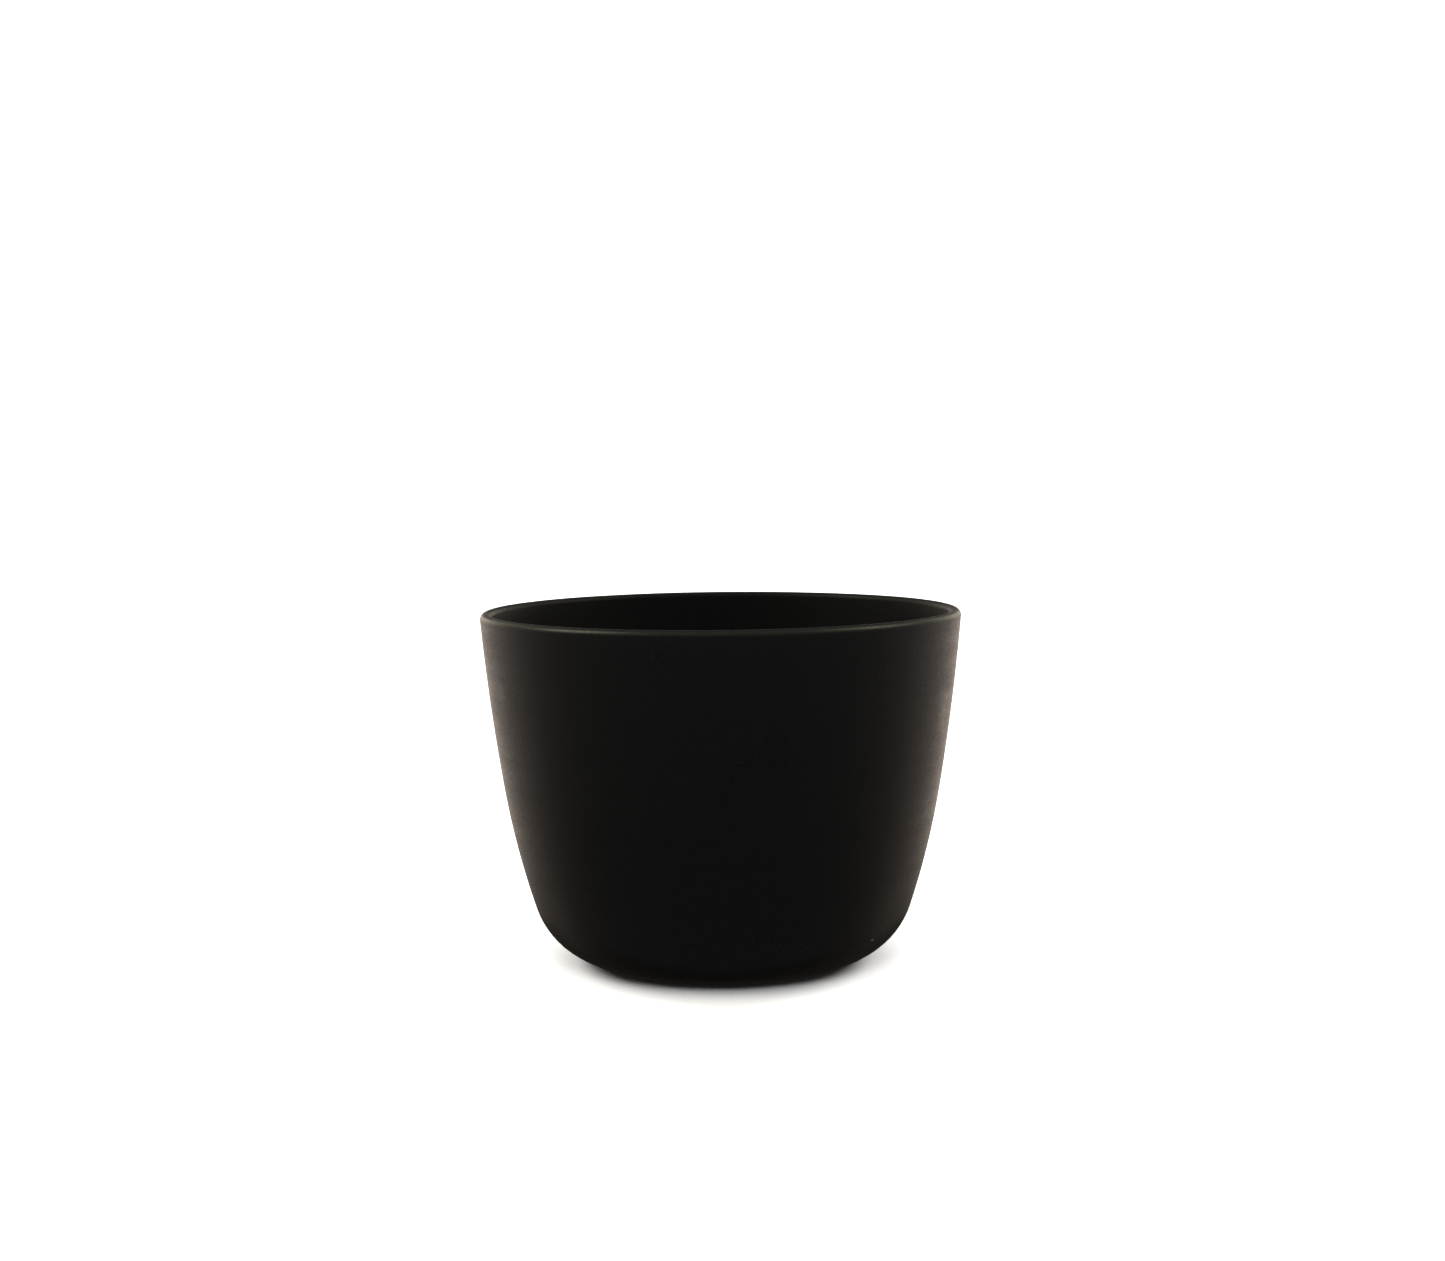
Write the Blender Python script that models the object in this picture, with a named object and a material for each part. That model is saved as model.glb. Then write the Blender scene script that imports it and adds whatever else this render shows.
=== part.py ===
"""Empty candle jar: a round, tapered glass tumbler, sprayed matte black inside and out.

The whole jar is one blown piece, so the model is one closed body of revolution.
Metres, +Z up. The origin is the centre of the foot, on the plane the jar stands on.
"""

from math import asin, cos, pi, radians, sin, sqrt

import bmesh
import bpy
from mathutils import Vector

# ---- driving dimensions -------------------------------------------------------------
LIP_DIAMETER = 0.0900          # outside, across the lip
HEIGHT = 0.0660                # foot to the crown of the lip
WALL = 0.0022                  # glass and coat together; the lip is rounded over it
FLOOR = 0.0050                 # thickness of the base over the foot ring

HEEL_RADIUS = 0.0150           # outside, where the side turns under
SHOULDER_RADIUS = 0.1500       # outside, the lower third of the side
LIP_TILT = radians(5.0)        # lean of the side from upright, just under the lip
SHOULDER_TILT = radians(9.4)   # lean where the long wall arc ends
HEEL_TILT = radians(18.2)      # lean where the heel starts
INNER_HEEL_RADIUS = 0.0120     # inside corner between side and floor

FOOT_RING_WIDTH = 0.0035       # flat ring that the jar stands on
FOOT_EDGE_RADIUS = 0.0040      # round from the foot ring up into the hollow
HOLLOW_DEPTH = 0.0010          # rise of the shallow hollow under the base

SIDES = 72                     # facets round the jar
COAT_COLOUR = (0.008, 0.008, 0.0075, 1.0)
COAT_ROUGHNESS = 0.45


def arc(centre, radius, start, end, pieces):
    """Points (r, z) on a circle from one angle to another, both ends included."""
    steps = [start + (end - start) * i / pieces for i in range(pieces + 1)]
    return [centre + radius * Vector((cos(a), sin(a))) for a in steps]


def outward(tilt):
    """Unit vector (r, z) square to the side where it leans out by tilt."""
    return Vector((cos(tilt), -sin(tilt)))


def outer_centres():
    """Centres of the lip, wall, shoulder and heel arcs; each arc is tangent to the next."""
    lip = Vector((LIP_DIAMETER / 2 - WALL / 2, HEIGHT - WALL / 2))
    lip_end = lip + WALL / 2 * outward(LIP_TILT)

    heel_top = HEEL_RADIUS * (1 - sin(HEEL_TILT))
    shoulder_top = heel_top + SHOULDER_RADIUS * (sin(HEEL_TILT) - sin(SHOULDER_TILT))
    wall_radius = (lip_end.y - shoulder_top) / (sin(SHOULDER_TILT) - sin(LIP_TILT))

    wall = lip_end - wall_radius * outward(LIP_TILT)
    shoulder = wall + (wall_radius - SHOULDER_RADIUS) * outward(SHOULDER_TILT)
    heel = shoulder + (SHOULDER_RADIUS - HEEL_RADIUS) * outward(HEEL_TILT)
    return lip, wall, wall_radius, shoulder, heel


def underside(foot_radius):
    """From the axis down the shallow hollow to the flat foot ring, points (r, z)."""
    ring_inner = foot_radius - FOOT_RING_WIDTH
    edge_centre = Vector((ring_inner, FOOT_EDGE_RADIUS))
    # The hollow is a dome tangent to the small edge round: its centre lies on the axis, and
    # the distance between the two centres is the sum of their radii.
    drop = FOOT_EDGE_RADIUS - HOLLOW_DEPTH
    dome_radius = (ring_inner ** 2 + drop ** 2 - FOOT_EDGE_RADIUS ** 2) / (2 * HOLLOW_DEPTH)
    dome_centre = Vector((0.0, HOLLOW_DEPTH - dome_radius))
    lean = asin(ring_inner / (dome_radius + FOOT_EDGE_RADIUS))

    dome = arc(dome_centre, dome_radius, pi / 2, pi / 2 - lean, 5)
    edge = arc(edge_centre, FOOT_EDGE_RADIUS, 3 * pi / 2 - lean, 3 * pi / 2, 2)
    return dome + edge[1:]


def jar_outline():
    """Half section (r, z): underside, outer side, lip, inner side, floor."""
    lip, wall, wall_radius, shoulder, heel = outer_centres()
    points = underside(heel.x)
    points += arc(heel, HEEL_RADIUS, -pi / 2, -HEEL_TILT, 8)
    points += arc(shoulder, SHOULDER_RADIUS, -HEEL_TILT, -SHOULDER_TILT, 5)[1:]
    points += arc(wall, wall_radius, -SHOULDER_TILT, -LIP_TILT, 5)[1:]
    points += arc(lip, WALL / 2, -LIP_TILT, 0.0, 1)[1:]
    points += arc(lip, WALL / 2, 0.0, pi / 2, 4)[1:]
    points += arc(lip, WALL / 2, pi / 2, pi - LIP_TILT, 4)[1:]

    # The inner side runs one wall inside the outer arcs, and its heel is tangent to both
    # the inner shoulder and the floor.
    points += arc(wall, wall_radius - WALL, -LIP_TILT, -SHOULDER_TILT, 5)[1:]
    inner_shoulder_radius = SHOULDER_RADIUS - WALL
    reach = inner_shoulder_radius - INNER_HEEL_RADIUS
    drop = shoulder.y - (FLOOR + INNER_HEEL_RADIUS)
    inner_heel = shoulder + Vector((sqrt(reach ** 2 - drop ** 2), -drop))
    inner_tilt = asin(drop / reach)
    points += arc(shoulder, inner_shoulder_radius, -SHOULDER_TILT, -inner_tilt, 4)[1:]
    points += arc(inner_heel, INNER_HEEL_RADIUS, -inner_tilt, -pi / 2, 7)[1:]
    points.append(Vector((0.0, FLOOR)))
    return points


def coat_material():
    """Matte black coat, slightly satin."""
    material = bpy.data.materials.new("matte_black_coat")
    material.use_nodes = True
    shader = material.node_tree.nodes["Principled BSDF"]
    shader.inputs["Base Color"].default_value = COAT_COLOUR
    shader.inputs["Roughness"].default_value = COAT_ROUGHNESS
    shader.inputs["Metallic"].default_value = 0.0
    return material


def jar_body():
    """Turn the half section once round the axis."""
    bm = bmesh.new()
    verts = [bm.verts.new((r, 0.0, z)) for r, z in jar_outline()]
    edges = [bm.edges.new(pair) for pair in zip(verts, verts[1:])]
    bmesh.ops.spin(bm, geom=verts + edges, cent=Vector(), axis=Vector((0.0, 0.0, 1.0)),
                   angle=2 * pi, steps=SIDES, use_merge=True)
    bmesh.ops.remove_doubles(bm, verts=bm.verts, dist=1e-6)
    bmesh.ops.recalc_face_normals(bm, faces=bm.faces)

    mesh = bpy.data.meshes.new("jar_body")
    bm.to_mesh(mesh)
    bm.free()
    mesh.materials.append(coat_material())
    mesh.shade_smooth()
    mesh.set_sharp_from_angle(angle=radians(35.0))
    jar = bpy.data.objects.new("jar_body", mesh)
    bpy.context.scene.collection.objects.link(jar)
    return jar


for old in list(bpy.data.objects):
    bpy.data.objects.remove(old)
jar_body()
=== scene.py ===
# %% [markdown]
# # An empty candle jar, sprayed matte black
#
# A candle jar of this kind is one piece of glass: a squat tapered bowl with a thin round
# lip and a large soft heel, sprayed black inside and out on a turning spindle. There is
# nothing to assemble, so the whole lesson is about two things: a clean turned outline, and
# a black that is not simply black. A matte black shape has almost no colour of its own.
# What the eye reads is its sheen: bright along the sides that turn away, dim in the middle,
# with a fine paler line where the coat is thin on the lip.

# %% Load the frame
from math import asin, atan2, ceil, cos, hypot, pi, radians, sin, sqrt

import bmesh
import bpy
from mathutils import Euler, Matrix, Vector


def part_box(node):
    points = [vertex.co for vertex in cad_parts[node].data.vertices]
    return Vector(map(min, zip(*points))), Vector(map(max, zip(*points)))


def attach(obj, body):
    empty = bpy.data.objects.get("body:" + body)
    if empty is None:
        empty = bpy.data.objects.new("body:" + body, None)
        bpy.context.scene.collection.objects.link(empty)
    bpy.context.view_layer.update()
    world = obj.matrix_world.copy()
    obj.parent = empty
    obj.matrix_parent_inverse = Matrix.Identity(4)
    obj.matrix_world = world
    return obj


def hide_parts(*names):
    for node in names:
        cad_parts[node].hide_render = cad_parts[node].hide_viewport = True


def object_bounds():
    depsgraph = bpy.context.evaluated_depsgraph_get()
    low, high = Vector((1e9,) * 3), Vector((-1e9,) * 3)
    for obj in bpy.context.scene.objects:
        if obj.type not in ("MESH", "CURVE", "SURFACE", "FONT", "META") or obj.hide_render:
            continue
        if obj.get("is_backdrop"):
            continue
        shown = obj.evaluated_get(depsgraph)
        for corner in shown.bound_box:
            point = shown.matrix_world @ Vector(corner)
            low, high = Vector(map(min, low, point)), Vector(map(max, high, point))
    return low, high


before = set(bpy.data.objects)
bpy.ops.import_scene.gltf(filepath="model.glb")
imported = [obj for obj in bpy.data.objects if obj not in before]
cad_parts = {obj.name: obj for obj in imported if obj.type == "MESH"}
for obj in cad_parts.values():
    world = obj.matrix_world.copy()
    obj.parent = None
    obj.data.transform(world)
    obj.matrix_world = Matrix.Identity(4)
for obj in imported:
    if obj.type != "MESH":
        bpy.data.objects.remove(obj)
cad_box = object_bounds()
low_corner, high_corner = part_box("jar_body")
LIP_RADIUS = (high_corner.x - low_corner.x) / 2
HEIGHT = high_corner.z
print(f"jar: {2000 * LIP_RADIUS:.1f} mm across the lip, {1000 * HEIGHT:.1f} mm high")

# %% [markdown]
# ## The camera
#
# A low table-top view is chosen so that the mouth closes to a slim ellipse and the side
# of the jar is seen almost square on. A 55 mm lens at a forearm's length keeps the taper
# honest: a wider lens, closer in, would make the lip bulge towards us. The camera looks
# along +Y, a few degrees down, and it is very slightly tipped, as a hand-set tripod is.

# %% Set the camera
CAMERA_PLACE = Vector((0.00035, -0.4134, 0.09975))
CAMERA_DOWN = radians(5.23)
CAMERA_TIP = radians(0.62)
LENS_MM = 55.0
SENSOR_MM = 36.0

camera_data = bpy.data.cameras.new("camera")
camera_data.lens = LENS_MM
camera_data.sensor_width = SENSOR_MM
camera = bpy.data.objects.new("camera", camera_data)
bpy.context.scene.collection.objects.link(camera)
facing = Euler((pi / 2 - CAMERA_DOWN, 0.0, 0.0)).to_matrix()
tipping = Euler((0.0, 0.0, -CAMERA_TIP)).to_matrix()
camera.rotation_euler = (facing @ tipping).to_euler()
camera.location = CAMERA_PLACE
bpy.context.scene.camera = camera
print(f"camera: {1000 * CAMERA_PLACE.length:.0f} mm from the foot of the jar")

# %% [markdown]
# ## The outline
#
# A glassmaker draws half of the section and the mould does the rest. The outer side is three
# arcs that flow into each other: a long, almost straight wall, a rounder shoulder in the
# lower third, and the tight heel. Each junction is named by the lean of the side there, from
# upright, because two arcs are smooth where they share a lean. The inside is the same wall
# arcs moved in by the thickness of the glass, then a smaller heel of its own, so the glass
# grows thicker towards the base. A spline could give the same curve, but arcs keep the
# wall's thickness exact, and each one is a size that somebody could measure with a gauge.

# %% Sizes of the outline
WALL = 0.0022
FLOOR = 0.0050
HEEL_RADIUS = 0.0150
SHOULDER_RADIUS = 0.1500
INNER_HEEL_RADIUS = 0.0120
LIP_TILT = radians(5.0)
SHOULDER_TILT = radians(9.4)
HEEL_TILT = radians(18.2)
FOOT_RING_WIDTH = 0.0035
FOOT_EDGE_RADIUS = 0.0040
HOLLOW_DEPTH = 0.0010


def outward(tilt):
    """Unit vector (r, z) square to the outside where the side leans out by tilt."""
    return Vector((cos(tilt), -sin(tilt)))


lip_centre = Vector((LIP_RADIUS - WALL / 2, HEIGHT - WALL / 2))
lip_end = lip_centre + WALL / 2 * outward(LIP_TILT)
heel_top = HEEL_RADIUS * (1 - sin(HEEL_TILT))
shoulder_top = heel_top + SHOULDER_RADIUS * (sin(HEEL_TILT) - sin(SHOULDER_TILT))
wall_radius = (lip_end.y - shoulder_top) / (sin(SHOULDER_TILT) - sin(LIP_TILT))
wall_centre = lip_end - wall_radius * outward(LIP_TILT)
shoulder_centre = wall_centre + (wall_radius - SHOULDER_RADIUS) * outward(SHOULDER_TILT)
heel_centre = shoulder_centre + (SHOULDER_RADIUS - HEEL_RADIUS) * outward(HEEL_TILT)
FOOT_RADIUS = heel_centre.x
print(f"wall arc {1000 * wall_radius:.0f} mm, foot {2000 * FOOT_RADIUS:.1f} mm across")

# %% [markdown]
# The underside has a shallow hollow, as pressed and blown ware has: the jar stands on a flat
# ring and can't rock on a bump. The hollow is a dome that meets the ring through a small
# round, and the two circles touch, so the distance between their centres is the sum of their
# radii. The inner heel touches the inner shoulder arc in the same way, from within.

# %% The circles of the underside and of the inside
ring_inner = FOOT_RADIUS - FOOT_RING_WIDTH
edge_rise = FOOT_EDGE_RADIUS - HOLLOW_DEPTH
dome_radius = (ring_inner ** 2 + edge_rise ** 2 - FOOT_EDGE_RADIUS ** 2) / (2 * HOLLOW_DEPTH)
dome_centre = Vector((0.0, HOLLOW_DEPTH - dome_radius))
dome_lean = asin(ring_inner / (dome_radius + FOOT_EDGE_RADIUS))
edge_centre = Vector((ring_inner, FOOT_EDGE_RADIUS))

inner_reach = SHOULDER_RADIUS - WALL - INNER_HEEL_RADIUS
inner_drop = shoulder_centre.y - (FLOOR + INNER_HEEL_RADIUS)
inner_shift = Vector((sqrt(inner_reach ** 2 - inner_drop ** 2), -inner_drop))
inner_heel_centre = shoulder_centre + inner_shift
inner_tilt = asin(inner_drop / inner_reach)
print(f"hollow {1000 * HOLLOW_DEPTH:.1f} mm deep")
print(f"flat inside {2000 * inner_heel_centre.x:.1f} mm across")

# %% [markdown]
# Each stretch of the outline is cut into pieces that turn by only a few degrees. The long
# wall needs few points and the little round of the lip needs many, so the limit is an angle
# where the line is tight and a length where it is nearly straight. The four stretches stay
# apart because each gets a finish of its own. The inside coat laps over the crown of the
# lip, so the lip's own stretch ends at LAP, counted up from level on the outer side.

# %% Helpers: points along an outline
WIDEST_TURN = radians(5.0)
LONGEST_STEP = 0.0030


def arc(centre, radius, start, end):
    """Points (r, z) along a circle, close enough together for its size and its turn."""
    turn = abs(end - start)
    pieces = max(1, ceil(turn / WIDEST_TURN), ceil(turn * radius / LONGEST_STEP))
    angles = [start + (end - start) * i / pieces for i in range(pieces + 1)]
    return [centre + radius * Vector((cos(a), sin(a))) for a in angles]


def straight(start, end):
    """Points along a straight stretch, no further apart than the longest step."""
    pieces = ceil((end - start).length / LONGEST_STEP)
    return [start.lerp(end, i / pieces) for i in range(pieces + 1)]


def joined(*stretches):
    """One run of points from stretches that each begin where the last one ended."""
    run = list(stretches[0])
    for stretch in stretches[1:]:
        run += stretch[1:]
    return run


print(f"a turn of {WIDEST_TURN:.3f} rad or {1000 * LONGEST_STEP:.0f} mm at the most")

# %% Points of the four stretches
LAP = radians(55.0)

underside = joined(
    arc(dome_centre, dome_radius, pi / 2, pi / 2 - dome_lean),
    arc(edge_centre, FOOT_EDGE_RADIUS, 3 * pi / 2 - dome_lean, 3 * pi / 2),
    straight(Vector((ring_inner, 0.0)), Vector((FOOT_RADIUS, 0.0))),
)
outside = joined(
    arc(heel_centre, HEEL_RADIUS, -pi / 2, -HEEL_TILT),
    arc(shoulder_centre, SHOULDER_RADIUS, -HEEL_TILT, -SHOULDER_TILT),
    arc(wall_centre, wall_radius, -SHOULDER_TILT, -LIP_TILT),
)
lip = arc(lip_centre, WALL / 2, -LIP_TILT, LAP)
inside = joined(
    arc(lip_centre, WALL / 2, LAP, pi - LIP_TILT),
    arc(wall_centre, wall_radius - WALL, -LIP_TILT, -SHOULDER_TILT),
    arc(shoulder_centre, SHOULDER_RADIUS - WALL, -SHOULDER_TILT, -inner_tilt),
    arc(inner_heel_centre, INNER_HEEL_RADIUS, -inner_tilt, -pi / 2),
    straight(Vector((inner_heel_centre.x, FLOOR)), Vector((0.0, FLOOR))),
)
stretches = [("underside", underside), ("outside", outside), ("lip", lip), ("inside", inside)]
for name, points in stretches:
    print(f"{name}: {len(points)} points")

# %% [markdown]
# ## Turning the jar
#
# Blender could spin this line with the Screw modifier. Here the rings are laid by hand
# instead: one ring of points for each point of the outline, and one band of faces between
# each ring and the next. That costs a few lines more, but each band then knows which
# stretch it came from, and the two poles are single points with no doubled vertices.
# The lip is melted round in a flame, so it is never quite level. It is lowered here and
# there by a few hundredths of a millimetre, which only the run of the highlight shows. Each
# dip is a wave: how often it goes round, half its depth in metres, and where it starts.

# %% Rings and bands
SIDES = 192
ON_AXIS = 0.0001
LIP_DIPS = [(2, 0.000010, 0.4), (5, 0.000006, 2.1), (11, 0.000003, 4.0)]
DIP_REACH = 0.010


def dip(angle, height):
    """How far the melted lip sinks at this angle; it fades out below the lip."""
    near_lip = max(0.0, 1 - (HEIGHT - height) / DIP_REACH) ** 2
    waves = [depth * (1 + sin(count * angle + phase)) for count, depth, phase in LIP_DIPS]
    return near_lip * sum(waves)


def ring(bm, point):
    """Vertices round the axis at one point of the outline, or one vertex on the axis."""
    if point.x < ON_AXIS:
        return [bm.verts.new((0.0, 0.0, point.y))]
    around = []
    for i in range(SIDES):
        angle = 2 * pi * i / SIDES
        height = point.y - dip(angle, point.y)
        around.append(bm.verts.new((point.x * cos(angle), point.x * sin(angle), height)))
    return around


def band(bm, low, high, finish):
    """Faces between two rings; a ring of one vertex is a pole and gives triangles."""
    for i in range(SIDES):
        j = (i + 1) % SIDES
        corners = [low[i % len(low)], low[j % len(low)], high[j % len(high)], high[i % len(high)]]
        face = bm.faces.new(list(dict.fromkeys(corners)))
        face.material_index = finish
        face.smooth = True


print(f"each ring has {SIDES} points")

# %% Turn the jar
bm = bmesh.new()
last = ring(bm, underside[0])
for finish, (_, points) in enumerate(stretches):
    for point in points[1:]:
        this = ring(bm, point)
        band(bm, last, this, finish)
        last = this
bmesh.ops.recalc_face_normals(bm, faces=bm.faces)
print(f"turned: {len(bm.verts)} points, {len(bm.faces)} faces")
print(f"glass: {1e6 * bm.calc_volume():.1f} ml")

# %% [markdown]
# ## Where the coat is thin
#
# Wet lacquer draws back from every tight round, and hands and benches rub the same places
# afterwards, so the coat is thinnest on the outer round of the lip and on the ring that the
# jar stands on. Both places follow from the shape, so they are written into the mesh as one
# number per vertex, called "thin". The materials read that number, and break it up. Round
# the lip the number climbs from THIN_FROM to THIN_FULL, counted up from level, and is back
# to nothing at THIN_TO. Across the foot ring it is highest in the middle: it starts to fall
# at RING_WORN and is gone at RING_WHOLE, both as shares of half the ring's width. A point
# counts as lip within LIP_REACH of the middle of the lip's round, and as foot when it is
# no higher than STANDING.

# %% Mark the thin places
THIN_FROM = radians(0.0)
THIN_FULL = radians(30.0)
THIN_TO = radians(74.0)
LIP_REACH = 0.6 * WALL
RING_WORN = 0.8
RING_WHOLE = 1.3
STANDING = 0.0004


def smooth_step(low, high, value):
    """0 below low, 1 above high, and an easy curve between."""
    share = min(1.0, max(0.0, (value - low) / (high - low)))
    return share * share * (3 - 2 * share)


def thinness(place):
    """1 where the coat is thinnest, 0 where it is whole."""
    radius = hypot(place.x, place.y)
    from_lip = Vector((radius, place.z)) - lip_centre
    if from_lip.length < LIP_REACH:
        turn = atan2(from_lip.y, from_lip.x)
        climbed = smooth_step(THIN_FROM, THIN_FULL, turn)
        return climbed * (1 - smooth_step(THIN_FULL, THIN_TO, turn))
    if place.z > STANDING:
        return 0.0
    ring_middle = FOOT_RADIUS - FOOT_RING_WIDTH / 2
    off_ring = abs(radius - ring_middle) / (FOOT_RING_WIDTH / 2)
    return 1 - smooth_step(RING_WORN, RING_WHOLE, off_ring)


thin_layer = bm.verts.layers.float.new("thin")
for vert in bm.verts:
    vert[thin_layer] = thinness(vert.co)
print(f"thin places: {sum(vert[thin_layer] > 0.5 for vert in bm.verts)} points")

# %% [markdown]
# The mesh is still only a heap of points and faces. It becomes a piece when an object holds
# it: the piece rides on the jar's one body, and stands for the CAD solid, which is hidden.

# %% Make the object
jar_mesh = bpy.data.meshes.new("candle_jar")
bm.to_mesh(jar_mesh)
bm.free()
jar = bpy.data.objects.new("candle_jar", jar_mesh)
bpy.context.scene.collection.objects.link(jar)
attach(jar, "root")
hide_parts("jar_body")
print(f"piece: {jar.name}")

# %% [markdown]
# ## Shared effects
#
# Every surface of this jar is the same lacquer, laid on in the same way, so the effects are
# node groups: built once, and placed in each material with its own numbers. The first helper
# opens a group and gives it named sockets, the second puts in a node and wires it in one go.

# %% Helpers: groups and nodes
def new_group(name, inputs, outputs):
    """A shader node group with float sockets; returns its tree, its input and output nodes."""
    tree = bpy.data.node_groups.new(name, "ShaderNodeTree")
    for socket, default in inputs.items():
        made = tree.interface.new_socket(socket, in_out="INPUT", socket_type="NodeSocketFloat")
        made.default_value = default
    for socket in outputs:
        tree.interface.new_socket(socket, in_out="OUTPUT", socket_type="NodeSocketFloat")
    return tree, tree.nodes.new("NodeGroupInput"), tree.nodes.new("NodeGroupOutput")


def put(tree, kind, settings=(), values=()):
    """A new node with its settings made and its inputs set to numbers or linked to sockets."""
    made = tree.nodes.new("ShaderNode" + kind)
    for name, setting in dict(settings).items():
        setattr(made, name, setting)
    for name, value in dict(values).items():
        if isinstance(value, bpy.types.NodeSocket):
            tree.links.new(value, made.inputs[name])
        else:
            made.inputs[name].default_value = value
    return made


print("groups and nodes: ready")

# %% [markdown]
# Most of what a group does is arithmetic on numbers and places. Four more helpers keep that
# readable. The last two give places in millimetres, and in units of some other size. The
# lumps of Blender's noises are about one unit across, so a place that is divided by a size
# gives lumps of that size.

# %% Helpers: numbers and places
def calc(tree, operation, *values):
    """The result of one Math node; each value is a number or a socket."""
    made = put(tree, "Math", {"operation": operation}, dict(enumerate(values)))
    return made.outputs[0]


def remap(tree, value, from_low, from_high, to_low=0.0, to_high=1.0, smooth=False):
    """The result of a Map Range node."""
    limits = {"Value": value, "From Min": from_low, "From Max": from_high,
              "To Min": to_low, "To Max": to_high}
    kind = "SMOOTHSTEP" if smooth else "LINEAR"
    return put(tree, "MapRange", {"interpolation_type": kind}, limits).outputs["Result"]


def millimetres(tree):
    """The place on the object, in millimetres, so that every size below is in millimetres."""
    place = put(tree, "TexCoord").outputs["Object"]
    values = {"Vector": place, "Scale": 1000.0}
    return put(tree, "VectorMath", {"operation": "SCALE"}, values).outputs[0]


def in_units_of(tree, size, place):
    """A place divided by a size."""
    values = {"Vector": place, "Scale": calc(tree, "DIVIDE", 1.0, size)}
    return put(tree, "VectorMath", {"operation": "SCALE"}, values).outputs[0]


print("numbers and places: ready")

# %% [markdown]
# Sprayed lacquer lands as fine drops that dry before they can flow flat. That leaves a grain
# of a quarter of a millimetre or so, which is what makes the black matte. Voronoi cells give
# the drops, and a finer noise on top keeps them from looking like a honeycomb. The group
# also gives each drop a number of its own, so that no two catch the light quite alike.

# %% Group: spray grain
DROP_BLEND = 0.6
DROP_EDGE = 0.9
FINE_SCALE = 2.7
FINE_SHARE = 0.5

grain_tree, grain_in, grain_out = new_group("spray grain", {"Size": 0.25}, ["Height", "Drop"])
grain_place = in_units_of(grain_tree, grain_in.outputs["Size"], millimetres(grain_tree))
drops = put(grain_tree, "TexVoronoi", {"feature": "SMOOTH_F1"},
            {"Vector": grain_place, "Scale": 1.0, "Smoothness": DROP_BLEND})
fine = put(grain_tree, "TexNoise", {}, {"Vector": grain_place, "Scale": FINE_SCALE, "Detail": 3.0})
rounded = remap(grain_tree, drops.outputs["Distance"], 0.0, DROP_EDGE, 1.0, 0.0)
rough_top = calc(grain_tree, "MULTIPLY_ADD", fine.outputs["Fac"], FINE_SHARE, rounded)
grain_tree.links.new(rough_top, grain_out.inputs["Height"])
own = put(grain_tree, "SeparateColor", {}, {"Color": drops.outputs["Color"]}).outputs["Red"]
grain_tree.links.new(own, grain_out.inputs["Drop"])
print("spray grain: drops of 0.25 mm unless told otherwise")

# %% [markdown]
# The jar turns under the gun, so each pass of the gun leaves a faint level band, slightly
# wetter or drier than the next. A noise that is stretched flat round the jar does this: the
# place is scaled down across and left alone upwards before it reaches the noise.

# %% Group: spindle bands
STRETCH = (0.03, 0.03, 1.0)
BAND_RANGE = (0.25, 0.75)

band_tree, band_in, band_out = new_group("spindle bands", {"Pitch": 2.0}, ["Band"])
flat_place = put(band_tree, "VectorMath", {"operation": "MULTIPLY"},
                 {0: millimetres(band_tree), 1: STRETCH}).outputs[0]
band_place = in_units_of(band_tree, band_in.outputs["Pitch"], flat_place)
passes = put(band_tree, "TexNoise", {}, {"Vector": band_place, "Scale": 1.0, "Detail": 4.0})
even = remap(band_tree, passes.outputs["Fac"], *BAND_RANGE)
band_tree.links.new(even, band_out.inputs["Band"])
print("spindle bands: one pass every 2 mm unless told otherwise")

# %% [markdown]
# Fingers polish a matte surface a little wherever they hold it. The marks are soft and
# broad, hard to see face on and plainer in the sheen near the edges. They are the high
# places of a twisted noise, and the more Cover asks for, the lower the cut is made.

# %% Group: handling marks
SMEAR_TWIST = 0.6
HIGHEST_CUT = 0.8
CUT_DROP = 0.5
CUT_SOFTNESS = 0.15

mark_tree, mark_in, mark_out = new_group("handling marks", {"Size": 14.0, "Cover": 0.4}, ["Mark"])
mark_place = in_units_of(mark_tree, mark_in.outputs["Size"], millimetres(mark_tree))
smears = put(mark_tree, "TexNoise", {},
             {"Vector": mark_place, "Scale": 1.0, "Detail": 2.0, "Distortion": SMEAR_TWIST})
lowered = calc(mark_tree, "MULTIPLY", mark_in.outputs["Cover"], CUT_DROP)
edge_low = calc(mark_tree, "SUBTRACT", HIGHEST_CUT, lowered)
edge_high = calc(mark_tree, "ADD", edge_low, CUT_SOFTNESS)
mark = remap(mark_tree, smears.outputs["Fac"], edge_low, edge_high, smooth=True)
mark_tree.links.new(mark, mark_out.inputs["Mark"])
print("handling marks: smears of 14 mm unless told otherwise")

# %% [markdown]
# Black shows every speck of dust. The specks are the middles of Voronoi cells: most cells
# are thrown away by their own random number, and the ones that stay differ in size.

# %% Group: dust specks
UNLUCKY = 0.6

dust_tree, dust_in, dust_out = new_group("dust specks", {"Spacing": 3.0, "Size": 0.15}, ["Speck"])
dust_place = in_units_of(dust_tree, dust_in.outputs["Spacing"], millimetres(dust_tree))
cells = put(dust_tree, "TexVoronoi", {}, {"Vector": dust_place, "Scale": 1.0})
luck = put(dust_tree, "SeparateColor", {}, {"Color": cells.outputs["Color"]}).outputs["Green"]
grown = remap(dust_tree, luck, UNLUCKY, 1.0)
largest = calc(dust_tree, "DIVIDE", dust_in.outputs["Size"], dust_in.outputs["Spacing"])
reach = calc(dust_tree, "MULTIPLY", largest, grown)
speck = calc(dust_tree, "LESS_THAN", cells.outputs["Distance"], reach)
dust_tree.links.new(speck, dust_out.inputs["Speck"])
print(f"dust specks: in {100 * (1 - UNLUCKY):.0f} of 100 cells")

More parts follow.
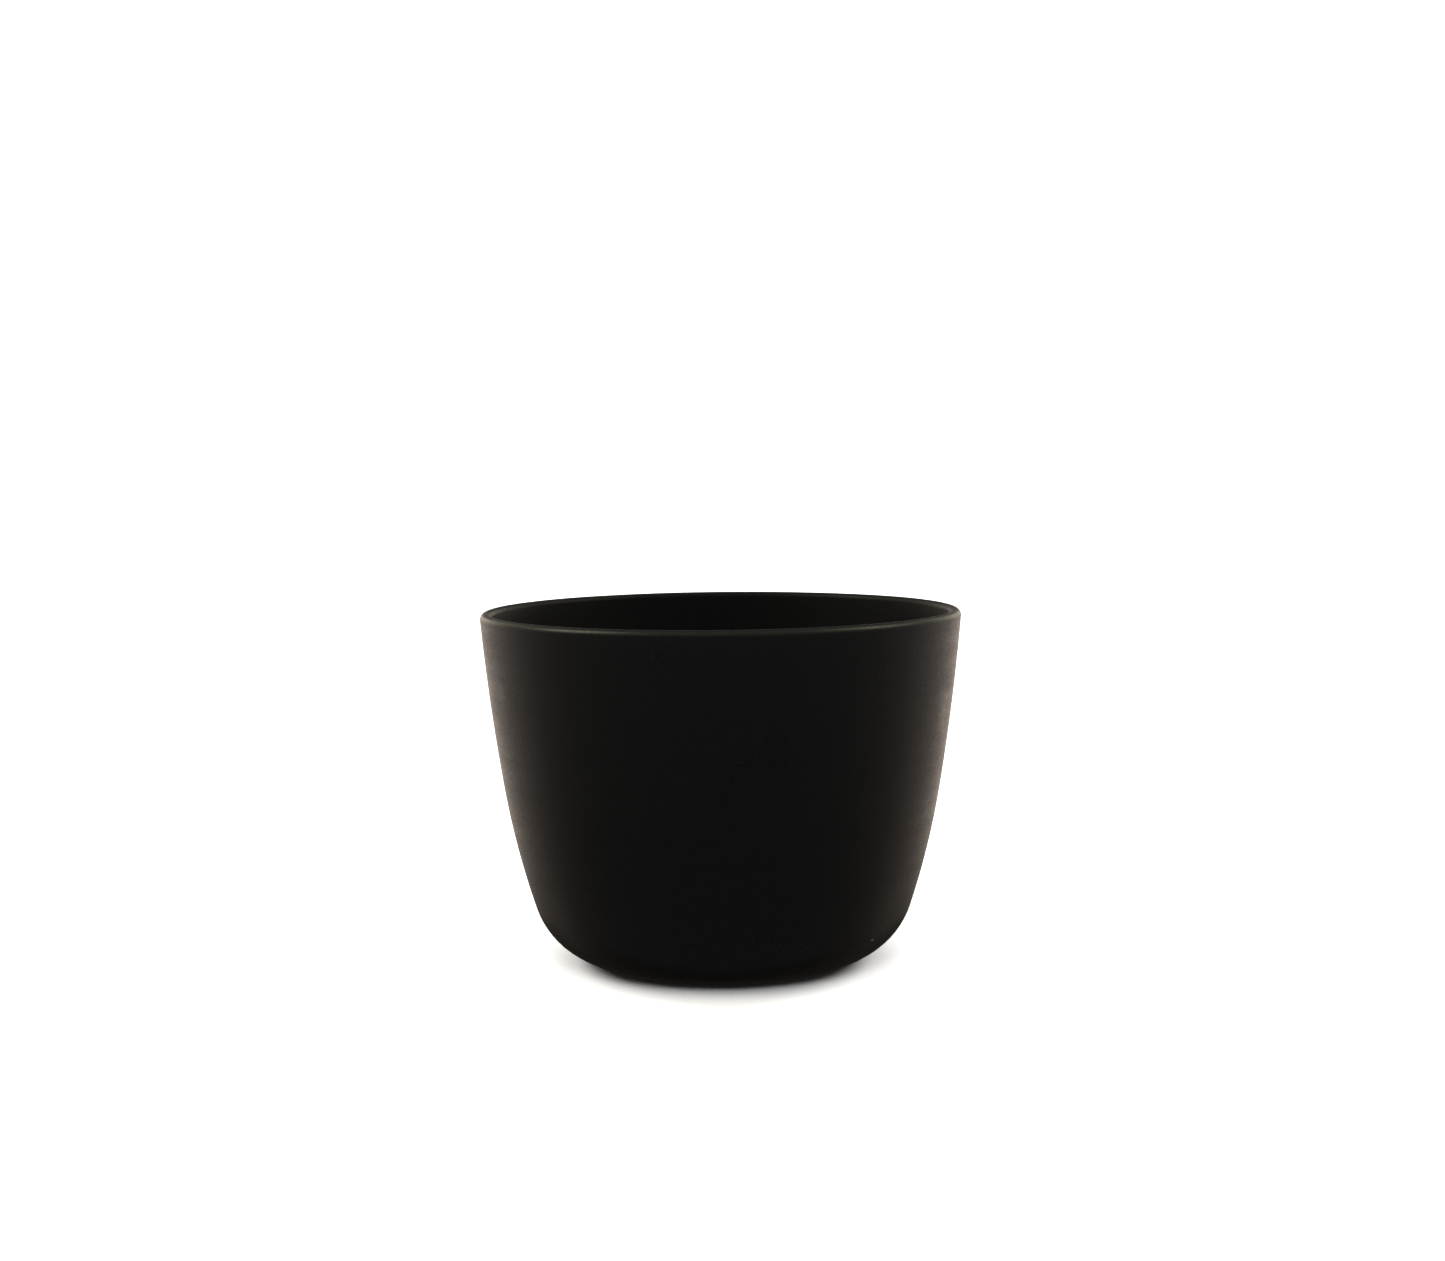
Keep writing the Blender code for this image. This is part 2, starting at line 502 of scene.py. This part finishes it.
# %% [markdown]
# The last group turns the number "thin" of the mesh into a mask with a ragged edge. Where
# the number is high the glass under the lacquer shows through, where it is low the coat
# wins, and the noise decides in between. "Nick" picks out the few small places where the
# coat is gone. There the bare glass is glossier, and its paler colour is also a painted
# glint.

# %% Group: thin coat
PATCH_RANGE = (0.3, 0.7)
LEAST_SHOW = 0.55
CHIP_SCALE = 0.45
CHIP_UNLUCKY = 0.72
CHIP_REACH = 0.16

thin_tree, thin_in, thin_out = new_group("thin coat", {"Patch": 0.9, "Cover": 0.5}, ["Bare", "Nick"])
thin_number = put(thin_tree, "Attribute", {"attribute_name": "thin"}).outputs["Fac"]
patch_place = in_units_of(thin_tree, thin_in.outputs["Patch"], millimetres(thin_tree))
patches = put(thin_tree, "TexNoise", {}, {"Vector": patch_place, "Scale": 1.0, "Detail": 4.0})
spread = remap(thin_tree, patches.outputs["Fac"], *PATCH_RANGE, LEAST_SHOW, 1.0)
cover = calc(thin_tree, "MULTIPLY", thin_in.outputs["Cover"], spread)
bare = calc(thin_tree, "MULTIPLY", thin_number, cover)
thin_tree.links.new(bare, thin_out.inputs["Bare"])
chips = put(thin_tree, "TexVoronoi", {}, {"Vector": patch_place, "Scale": CHIP_SCALE})
chance = put(thin_tree, "SeparateColor", {}, {"Color": chips.outputs["Color"]}).outputs["Blue"]
chip_reach = remap(thin_tree, chance, CHIP_UNLUCKY, 1.0, 0.0, CHIP_REACH)
chip = calc(thin_tree, "LESS_THAN", chips.outputs["Distance"], chip_reach)
thin_tree.links.new(calc(thin_tree, "MULTIPLY", chip, thin_number), thin_out.inputs["Nick"])
print("thin coat: patches of 0.9 mm unless told otherwise")

# %% [markdown]
# ## The finishes
#
# One recipe makes all four finishes, since they are one lacquer on one glass. Two helpers
# come first: one places a group in a material, the other blends two colours.

# %% Helpers: groups and colours in a material
def use(tree, group, **values):
    """Place a group in a material and set its inputs."""
    made = tree.nodes.new("ShaderNodeGroup")
    made.node_tree = group
    for name, value in values.items():
        made.inputs[name].default_value = value
    return made.outputs


def blend_colours(tree, amount, first, second):
    """A colour that goes from first to second as amount goes from 0 to 1."""
    made = tree.nodes.new("ShaderNodeMix")
    made.data_type = "RGBA"
    tree.links.new(amount, made.inputs["Factor"])
    for name, colour in (("A", first), ("B", second)):
        socket = next(s for s in made.inputs if s.name == name and s.type == "RGBA")
        if isinstance(colour, bpy.types.NodeSocket):
            tree.links.new(colour, socket)
        else:
            socket.default_value = (*colour, 1.0)
    return next(s for s in made.outputs if s.type == "RGBA")


print("groups and colours: ready")

# %% [markdown]
# The recipe mixes the colours first: black, then the glass where the coat is thin, then the
# paler colour of the nicks, which is bare glass with a painted glint, then dust. Roughness
# starts at the finish's own value and is pushed up and down by the bands, the single drops,
# the marks and the bare places. The grain goes to a Bump node, whose Distance of 0.001 lets
# its heights be millimetres.

# %% Numbers of the recipe
BAND_PITCH = 2.2
MARK_SIZE = 13.0
MARK_COVER = 0.45
SPECK_SPACING = 6.0
SPECK_SIZE = 0.16
LEAST_TONE = 0.8
DUST = (0.32, 0.30, 0.27)
DUST_SHOW = 0.5
# paler colour of the nicks: bare glass, with a painted glint on top
BARE_GLASS_GLINT = (0.045, 0.045, 0.030)
GLINT_SHOW = 0.45
DROP_SHEEN = 0.08
BARE_GLOSS = 0.10
NICK_GLOSS = 0.25
MILLIMETRE = 0.001
print(f"bands {BAND_PITCH} mm apart, marks {MARK_SIZE:.0f} mm wide, specks {SPECK_SIZE} mm")

# %% The recipe

def lacquer(name, black, glass, shine, roughness, grain_size, grain_depth, bands, marks, cover, patch):
    """A sprayed finish; sizes are in millimetres, bands and marks are shares of roughness."""
    material = bpy.data.materials.new(name)
    material.use_nodes = True
    tree = material.node_tree
    shader = tree.nodes["Principled BSDF"]
    shader.inputs["Specular IOR Level"].default_value = shine
    grain = use(tree, grain_tree, Size=grain_size)
    band_value = use(tree, band_tree, Pitch=BAND_PITCH)["Band"]
    mark_value = use(tree, mark_tree, Size=MARK_SIZE, Cover=MARK_COVER)["Mark"]
    speck_value = use(tree, dust_tree, Spacing=SPECK_SPACING, Size=SPECK_SIZE)["Speck"]
    thin = use(tree, thin_tree, Patch=patch, Cover=cover)

    tone = remap(tree, grain["Drop"], 0.0, 1.0, LEAST_TONE, 1.0)
    colour = blend_colours(tree, calc(tree, "MULTIPLY", thin["Bare"], tone), black, glass)
    # painted glint: the nicks get a paler colour that stands for light caught by bare glass
    nick_glint = calc(tree, "MULTIPLY", thin["Nick"], GLINT_SHOW)
    colour = blend_colours(tree, nick_glint, colour, BARE_GLASS_GLINT)
    dusty = calc(tree, "MULTIPLY", speck_value, DUST_SHOW)
    colour = blend_colours(tree, dusty, colour, DUST)
    tree.links.new(colour, shader.inputs["Base Color"])

    wetness = remap(tree, band_value, 0.0, 1.0, roughness - bands, roughness + bands)
    drop_sheen = remap(tree, grain["Drop"], 0.0, 1.0, -DROP_SHEEN, DROP_SHEEN)
    speckled = calc(tree, "ADD", wetness, drop_sheen)
    polished = calc(tree, "MULTIPLY_ADD", mark_value, -marks, speckled)
    worn = calc(tree, "MULTIPLY_ADD", thin["Bare"], -BARE_GLOSS, polished)
    glint = calc(tree, "MULTIPLY_ADD", thin["Nick"], -NICK_GLOSS, worn)
    tree.links.new(glint, shader.inputs["Roughness"])

    bump = put(tree, "Bump", {}, {"Strength": 1.0, "Distance": MILLIMETRE})
    coat_left = calc(tree, "SUBTRACT", 1.0, thin["Bare"])
    full_height = calc(tree, "MULTIPLY", grain["Height"], grain_depth)
    height = calc(tree, "MULTIPLY", full_height, coat_left)
    tree.links.new(height, bump.inputs["Height"])
    tree.links.new(bump.outputs["Normal"], shader.inputs["Normal"])
    return material


print("recipe: ready")

# %% [markdown]
# The outside is wetter and smoother than the inside, where the gun blows its own mist back
# and the drops land half dry. The lip has just the outside's lacquer, and the number "thin"
# lets the olive-grey glass show through it. The underside got only what drifted there, so
# its ring wears through to the glass in patches as soon as the jar is pushed about.

# %% Four finishes
BLACK = (0.0012, 0.0012, 0.0012)
MIST_BLACK = (0.0018, 0.0018, 0.0018)
OLIVE_GLASS = (0.0098, 0.0130, 0.0064)
WORN_GLASS = (0.11, 0.12, 0.10)

OUTSIDE = {"shine": 0.5, "roughness": 0.38, "grain_size": 0.24, "grain_depth": 0.006,
           "bands": 0.03, "marks": 0.06, "cover": 0.5, "patch": 0.9}
INSIDE = {"shine": 0.25, "roughness": 0.50, "grain_size": 0.32, "grain_depth": 0.008,
          "bands": 0.02, "marks": 0.02, "cover": 0.4, "patch": 0.9}
UNDERSIDE = {"shine": 0.5, "roughness": 0.48, "grain_size": 0.30, "grain_depth": 0.006,
             "bands": 0.0, "marks": 0.03, "cover": 0.8, "patch": 1.6}

outer_coat = lacquer("outer_coat", BLACK, OLIVE_GLASS, **OUTSIDE)
lip_coat = lacquer("lip_coat", BLACK, OLIVE_GLASS, **OUTSIDE)
inner_coat = lacquer("inner_coat", MIST_BLACK, OLIVE_GLASS, **INSIDE)
foot_coat = lacquer("foot_coat", BLACK, WORN_GLASS, **UNDERSIDE)
for material in (foot_coat, outer_coat, lip_coat, inner_coat):
    jar_mesh.materials.append(material)
print("finishes:", ", ".join(m.name for m in jar_mesh.materials))

# %% [markdown]
# One pale fleck, of wax or dust, sits low on the right of the front. It is a mask round one
# named place, and that place is worked out from the heel's own arc.

# %% One fleck
FLECK_TURN = radians(52.0)
FLECK_LEAN = radians(31.0)
FLECK_SIZE = 0.22
WAX = (0.11, 0.11, 0.10)

fleck_point = heel_centre + HEEL_RADIUS * outward(FLECK_LEAN)
fleck_round = fleck_point.x * Vector((sin(FLECK_TURN), -cos(FLECK_TURN), 0.0))
fleck_place = fleck_round + Vector((0.0, 0.0, fleck_point.y))
coat_tree = outer_coat.node_tree
coat_shader = coat_tree.nodes["Principled BSDF"]
clean_colour = coat_shader.inputs["Base Color"].links[0].from_socket
away = put(coat_tree, "VectorMath", {"operation": "DISTANCE"},
           {0: millimetres(coat_tree), 1: 1000 * fleck_place}).outputs["Value"]
fleck = calc(coat_tree, "LESS_THAN", away, FLECK_SIZE)
flecked = blend_colours(coat_tree, fleck, clean_colour, WAX)
coat_tree.links.new(flecked, coat_shader.inputs["Base Color"])
print(f"fleck: {1000 * fleck_place.z:.1f} mm above the table")

# %% [markdown]
# ## The table
#
# The jar stands on a plain pale sheet with no shine. It is lit until it reads as pure white,
# so that nothing is left of it but the tight dark line of contact under the heel. The jar
# must not mirror it, because a black heel over a white sheet would lose its edge: in a
# studio a black card laid in front does that, and here the sheet is hidden from reflections.

# %% Lay the floor
FLOOR_SIZE = 6.0
SHEET_LOW = (0.80, 0.80, 0.80)
SHEET_HIGH = (0.82, 0.82, 0.82)
TOOTH_SCALE = 0.8

floor_mesh = bpy.data.meshes.new("floor")
bm = bmesh.new()
bmesh.ops.create_grid(bm, x_segments=4, y_segments=4, size=FLOOR_SIZE / 2)
bm.to_mesh(floor_mesh)
bm.free()
floor = bpy.data.objects.new("floor", floor_mesh)
bpy.context.scene.collection.objects.link(floor)
floor.visible_glossy = False
floor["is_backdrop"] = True

pale_sheet = bpy.data.materials.new("pale_sheet")
pale_sheet.use_nodes = True
sheet_tree = pale_sheet.node_tree
sheet_shader = sheet_tree.nodes["Principled BSDF"]
sheet_shader.inputs["Roughness"].default_value = 1.0
sheet_shader.inputs["Specular IOR Level"].default_value = 0.0
tooth = put(sheet_tree, "TexNoise", {},
            {"Vector": millimetres(sheet_tree), "Scale": TOOTH_SCALE, "Detail": 3.0})
sheet_colour = blend_colours(sheet_tree, tooth.outputs["Fac"], SHEET_LOW, SHEET_HIGH)
sheet_tree.links.new(sheet_colour, sheet_shader.inputs["Base Color"])
floor_mesh.materials.append(pale_sheet)
print(f"floor: {FLOOR_SIZE:.0f} m square")

# %% [markdown]
# ## The light
#
# A matte black shape is lit by what stands round it. Behind the jar is a pale backdrop, and
# its light grazes both sides of the jar and draws the two soft bright edges. The World
# gives the room as a brightness that depends on direction only. A real backdrop could be
# modelled as a curved sheet, but a few Map Range nodes are quicker to tune. First comes the
# glow of the backdrop: broad over the back half of the room, and strongest straight behind.
# It dies away downwards, and it ends just above the height of the lip. That upper edge is
# higher at the sides than in the middle, so the far side of the lip stays dark while the two
# ends of the lip catch light. A direction's X, Y and Z each go from -1 to 1: Y is 1 straight
# behind the jar, Z is 0 where the direction is level, and the pairs below are ranges of them.

# %% The backdrop
BEHIND = 0.73
BROAD_FALL = 3.5
STRAIGHT_BEHIND = 0.80
STRAIGHT_FALL = 16.0
FADE_DOWN = (-0.90, -0.15)
LEFT_BELOW = 0.03
LEFT_ABOVE = 0.06
UPPER_EDGE = (0.0, 0.15)
EDGE_RISE = 0.8
EDGE_RISE_WIDTH = 0.2

world = bpy.data.worlds.new("room")
world.use_nodes = True
bpy.context.scene.world = world
tree = world.node_tree
tree.nodes.clear()
towards_light = put(tree, "TexCoord").outputs["Generated"]
direction = put(tree, "SeparateXYZ", {}, {"Vector": towards_light}).outputs
backness = remap(tree, direction["Y"], -1.0, 1.0)
broad = calc(tree, "MULTIPLY", calc(tree, "POWER", backness, BROAD_FALL), BEHIND)
narrow = calc(tree, "POWER", backness, STRAIGHT_FALL)
sweep = calc(tree, "MULTIPLY_ADD", narrow, STRAIGHT_BEHIND, broad)
below = remap(tree, direction["Z"], *FADE_DOWN, LEFT_BELOW, 1.0, smooth=True)
sideways = calc(tree, "ABSOLUTE", direction["X"])
to_the_side = calc(tree, "MINIMUM", sideways, EDGE_RISE_WIDTH)
over_edge = calc(tree, "MULTIPLY_ADD", to_the_side, -EDGE_RISE, direction["Z"])
above = remap(tree, over_edge, *UPPER_EDGE, 1.0, LEFT_ABOVE, smooth=True)
backdrop = calc(tree, "MULTIPLY", sweep, calc(tree, "MULTIPLY", below, above))
print(f"backdrop: {BEHIND + STRAIGHT_BEHIND:.2f} straight behind")

# %% [markdown]
# The heel curves under, so near the table it mirrors what lies low behind the jar. With the
# backdrop there it would show a bright line along its foot. In a studio a black card is laid
# behind such a jar, and here the card is a mask that takes the light away low and behind. At
# the sides it starts lower, because the sides of the heel do keep their glow.

# %% The black card
CARD_LOSS = 0.94
CARD_SLOPE = 0.35
CARD_BACK = (0.47, 0.81)
CARD_TOP = (-0.09, -0.19)

raised = calc(tree, "MULTIPLY_ADD", sideways, CARD_SLOPE, direction["Z"])
well_behind = remap(tree, direction["Y"], *CARD_BACK, smooth=True)
low_enough = remap(tree, raised, *CARD_TOP, smooth=True)
card = calc(tree, "MULTIPLY", well_behind, low_enough)
kept = calc(tree, "MULTIPLY_ADD", card, -CARD_LOSS, 1.0)
glow = calc(tree, "MULTIPLY", backdrop, kept)
print(f"card: takes {100 * CARD_LOSS:.0f} percent of the light low behind the jar")

# %% [markdown]
# Towards the camera the room falls away to a dim grey, and that grey is all that the middle
# of the jar shows. It is brighter in level and rising directions than further down, and it
# gains a little again steeply down, where the pale sheet shines up. Low behind the jar it is
# nearly black, because there the jar shades the table. A weak ceiling gives the round of the
# lip its line.

# %% The plain room
FRONT = 0.052
LEVEL_GAIN = 2.6
SHEET_SHARE = 0.45
OVERHEAD = 0.05
SHADE_LOSS = 0.92
CEILING_RANGE = (0.3, 1.0)
LEVEL_RANGE = (-0.34, -0.18)
SHEET_RANGE = (-0.40, -0.80)
SHADE_DOWN = (-0.20, -0.60)
SHADE_BACK = (0.0, 0.42)

steepness = direction["Z"]
ceiling = remap(tree, steepness, *CEILING_RANGE, 0.0, OVERHEAD, smooth=True)
level = remap(tree, steepness, *LEVEL_RANGE, FRONT, LEVEL_GAIN * FRONT, smooth=True)
sheet_glow = remap(tree, steepness, *SHEET_RANGE, 0.0, SHEET_SHARE * FRONT, smooth=True)
under = remap(tree, steepness, *SHADE_DOWN, smooth=True)
past_jar = remap(tree, direction["Y"], *SHADE_BACK, smooth=True)
shade = calc(tree, "MULTIPLY", under, past_jar)
unshaded = calc(tree, "MULTIPLY_ADD", shade, -SHADE_LOSS, 1.0)
lit = calc(tree, "MULTIPLY", unshaded, kept)
plain = calc(tree, "MULTIPLY_ADD", calc(tree, "ADD", level, sheet_glow), lit, ceiling)
print(f"room: {FRONT:.3f} towards the camera")

# %% [markdown]
# The two lights are added, the backdrop's a little warm and the room's almost neutral. What
# the camera sees directly is neither: a Light Path node gives it clean white.

# %% Join the room
WARM = (1.20, 1.0, 0.84, 1.0)
GREY = (1.0, 0.99, 0.99, 1.0)
WHITE = (1.0, 1.0, 1.0, 1.0)
WHITE_STRENGTH = 1.1

warm_light = put(tree, "Background", {}, {"Color": WARM, "Strength": glow})
grey_light = put(tree, "Background", {}, {"Color": GREY, "Strength": plain})
room_light = put(tree, "AddShader", {}, {0: warm_light.outputs[0], 1: grey_light.outputs[0]})
white = put(tree, "Background", {}, {"Color": WHITE, "Strength": WHITE_STRENGTH})
seen = put(tree, "LightPath").outputs["Is Camera Ray"]
either = put(tree, "MixShader", {}, {0: seen, 1: room_light.outputs[0], 2: white.outputs[0]})
put(tree, "OutputWorld", {}, {"Surface": either.outputs[0]})
print(f"world: {len(tree.nodes)} nodes")

# %% [markdown]
# Soft lamps do the rest. Each is a Sun with a wide angle: a round bright patch of sky, so
# its light doesn't fall off across the sheet. The panels light the sheet from above, from
# the front and low from both sides, and are kept out of reflections. Between them they leave
# a contact shadow that is tight beside the jar and a little longer towards the camera. The
# yellow lamps do the opposite: they are there to be mirrored by the round of the lip, as the
# brighter stretches to the left and right of its middle and at its two ends. The Standard
# view at the end keeps the white of the sheet white.

# %% Lamps
LAMP_DISTANCE = 1.5
YELLOW = (1.08, 1.0, 0.72)


def soft_lamp(name, turn, rise, width, strength, mirrored, colour=(1.0, 1.0, 1.0)):
    """A round patch of light; turn is from straight behind towards +X, rise from level."""
    data = bpy.data.lights.new(name, "SUN")
    data.energy = strength
    data.color = colour
    data.angle = radians(width)
    lamp = bpy.data.objects.new(name, data)
    bpy.context.scene.collection.objects.link(lamp)
    level_part = Vector((sin(radians(turn)), cos(radians(turn)), 0.0)) * cos(radians(rise))
    towards = level_part + Vector((0.0, 0.0, sin(radians(rise))))
    lamp.rotation_euler = towards.to_track_quat("Z", "Y").to_euler()
    lamp.location = LAMP_DISTANCE * towards
    lamp.visible_glossy = mirrored


soft_lamp("top_panel", turn=0, rise=90, width=120, strength=4.6, mirrored=False)
soft_lamp("front_panel", turn=180, rise=42, width=20, strength=0.6, mirrored=False)
for side, sign in (("left", -1), ("right", 1)):
    soft_lamp(f"{side}_panel", turn=50 * sign, rise=24, width=24, strength=3.0, mirrored=False)
    soft_lamp(f"{side}_end_lamp", turn=36 * sign, rise=18, width=30, strength=0.12, mirrored=True,
              colour=YELLOW)
soft_lamp("left_lamp", turn=-92, rise=41, width=34, strength=0.68, mirrored=True, colour=YELLOW)
soft_lamp("right_lamp", turn=86, rise=40, width=32, strength=0.40, mirrored=True, colour=YELLOW)
bpy.context.scene.view_settings.view_transform = "Standard"
print("lamps: 4 panels for the sheet, 4 lamps for the lip")

# %% [markdown]
# ## Measure and finish
#
# The jar must fill the same box as the CAD solid that it stands for, so both boxes are
# printed side by side.

# %% Sizes
visual_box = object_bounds()
sizes = {"cad": [list(corner) for corner in cad_box],
         "visual": [list(corner) for corner in visual_box]}
for name, (low, high) in sizes.items():
    print(name, [round(1000 * (h - l), 3) for l, h in zip(low, high)], "mm")
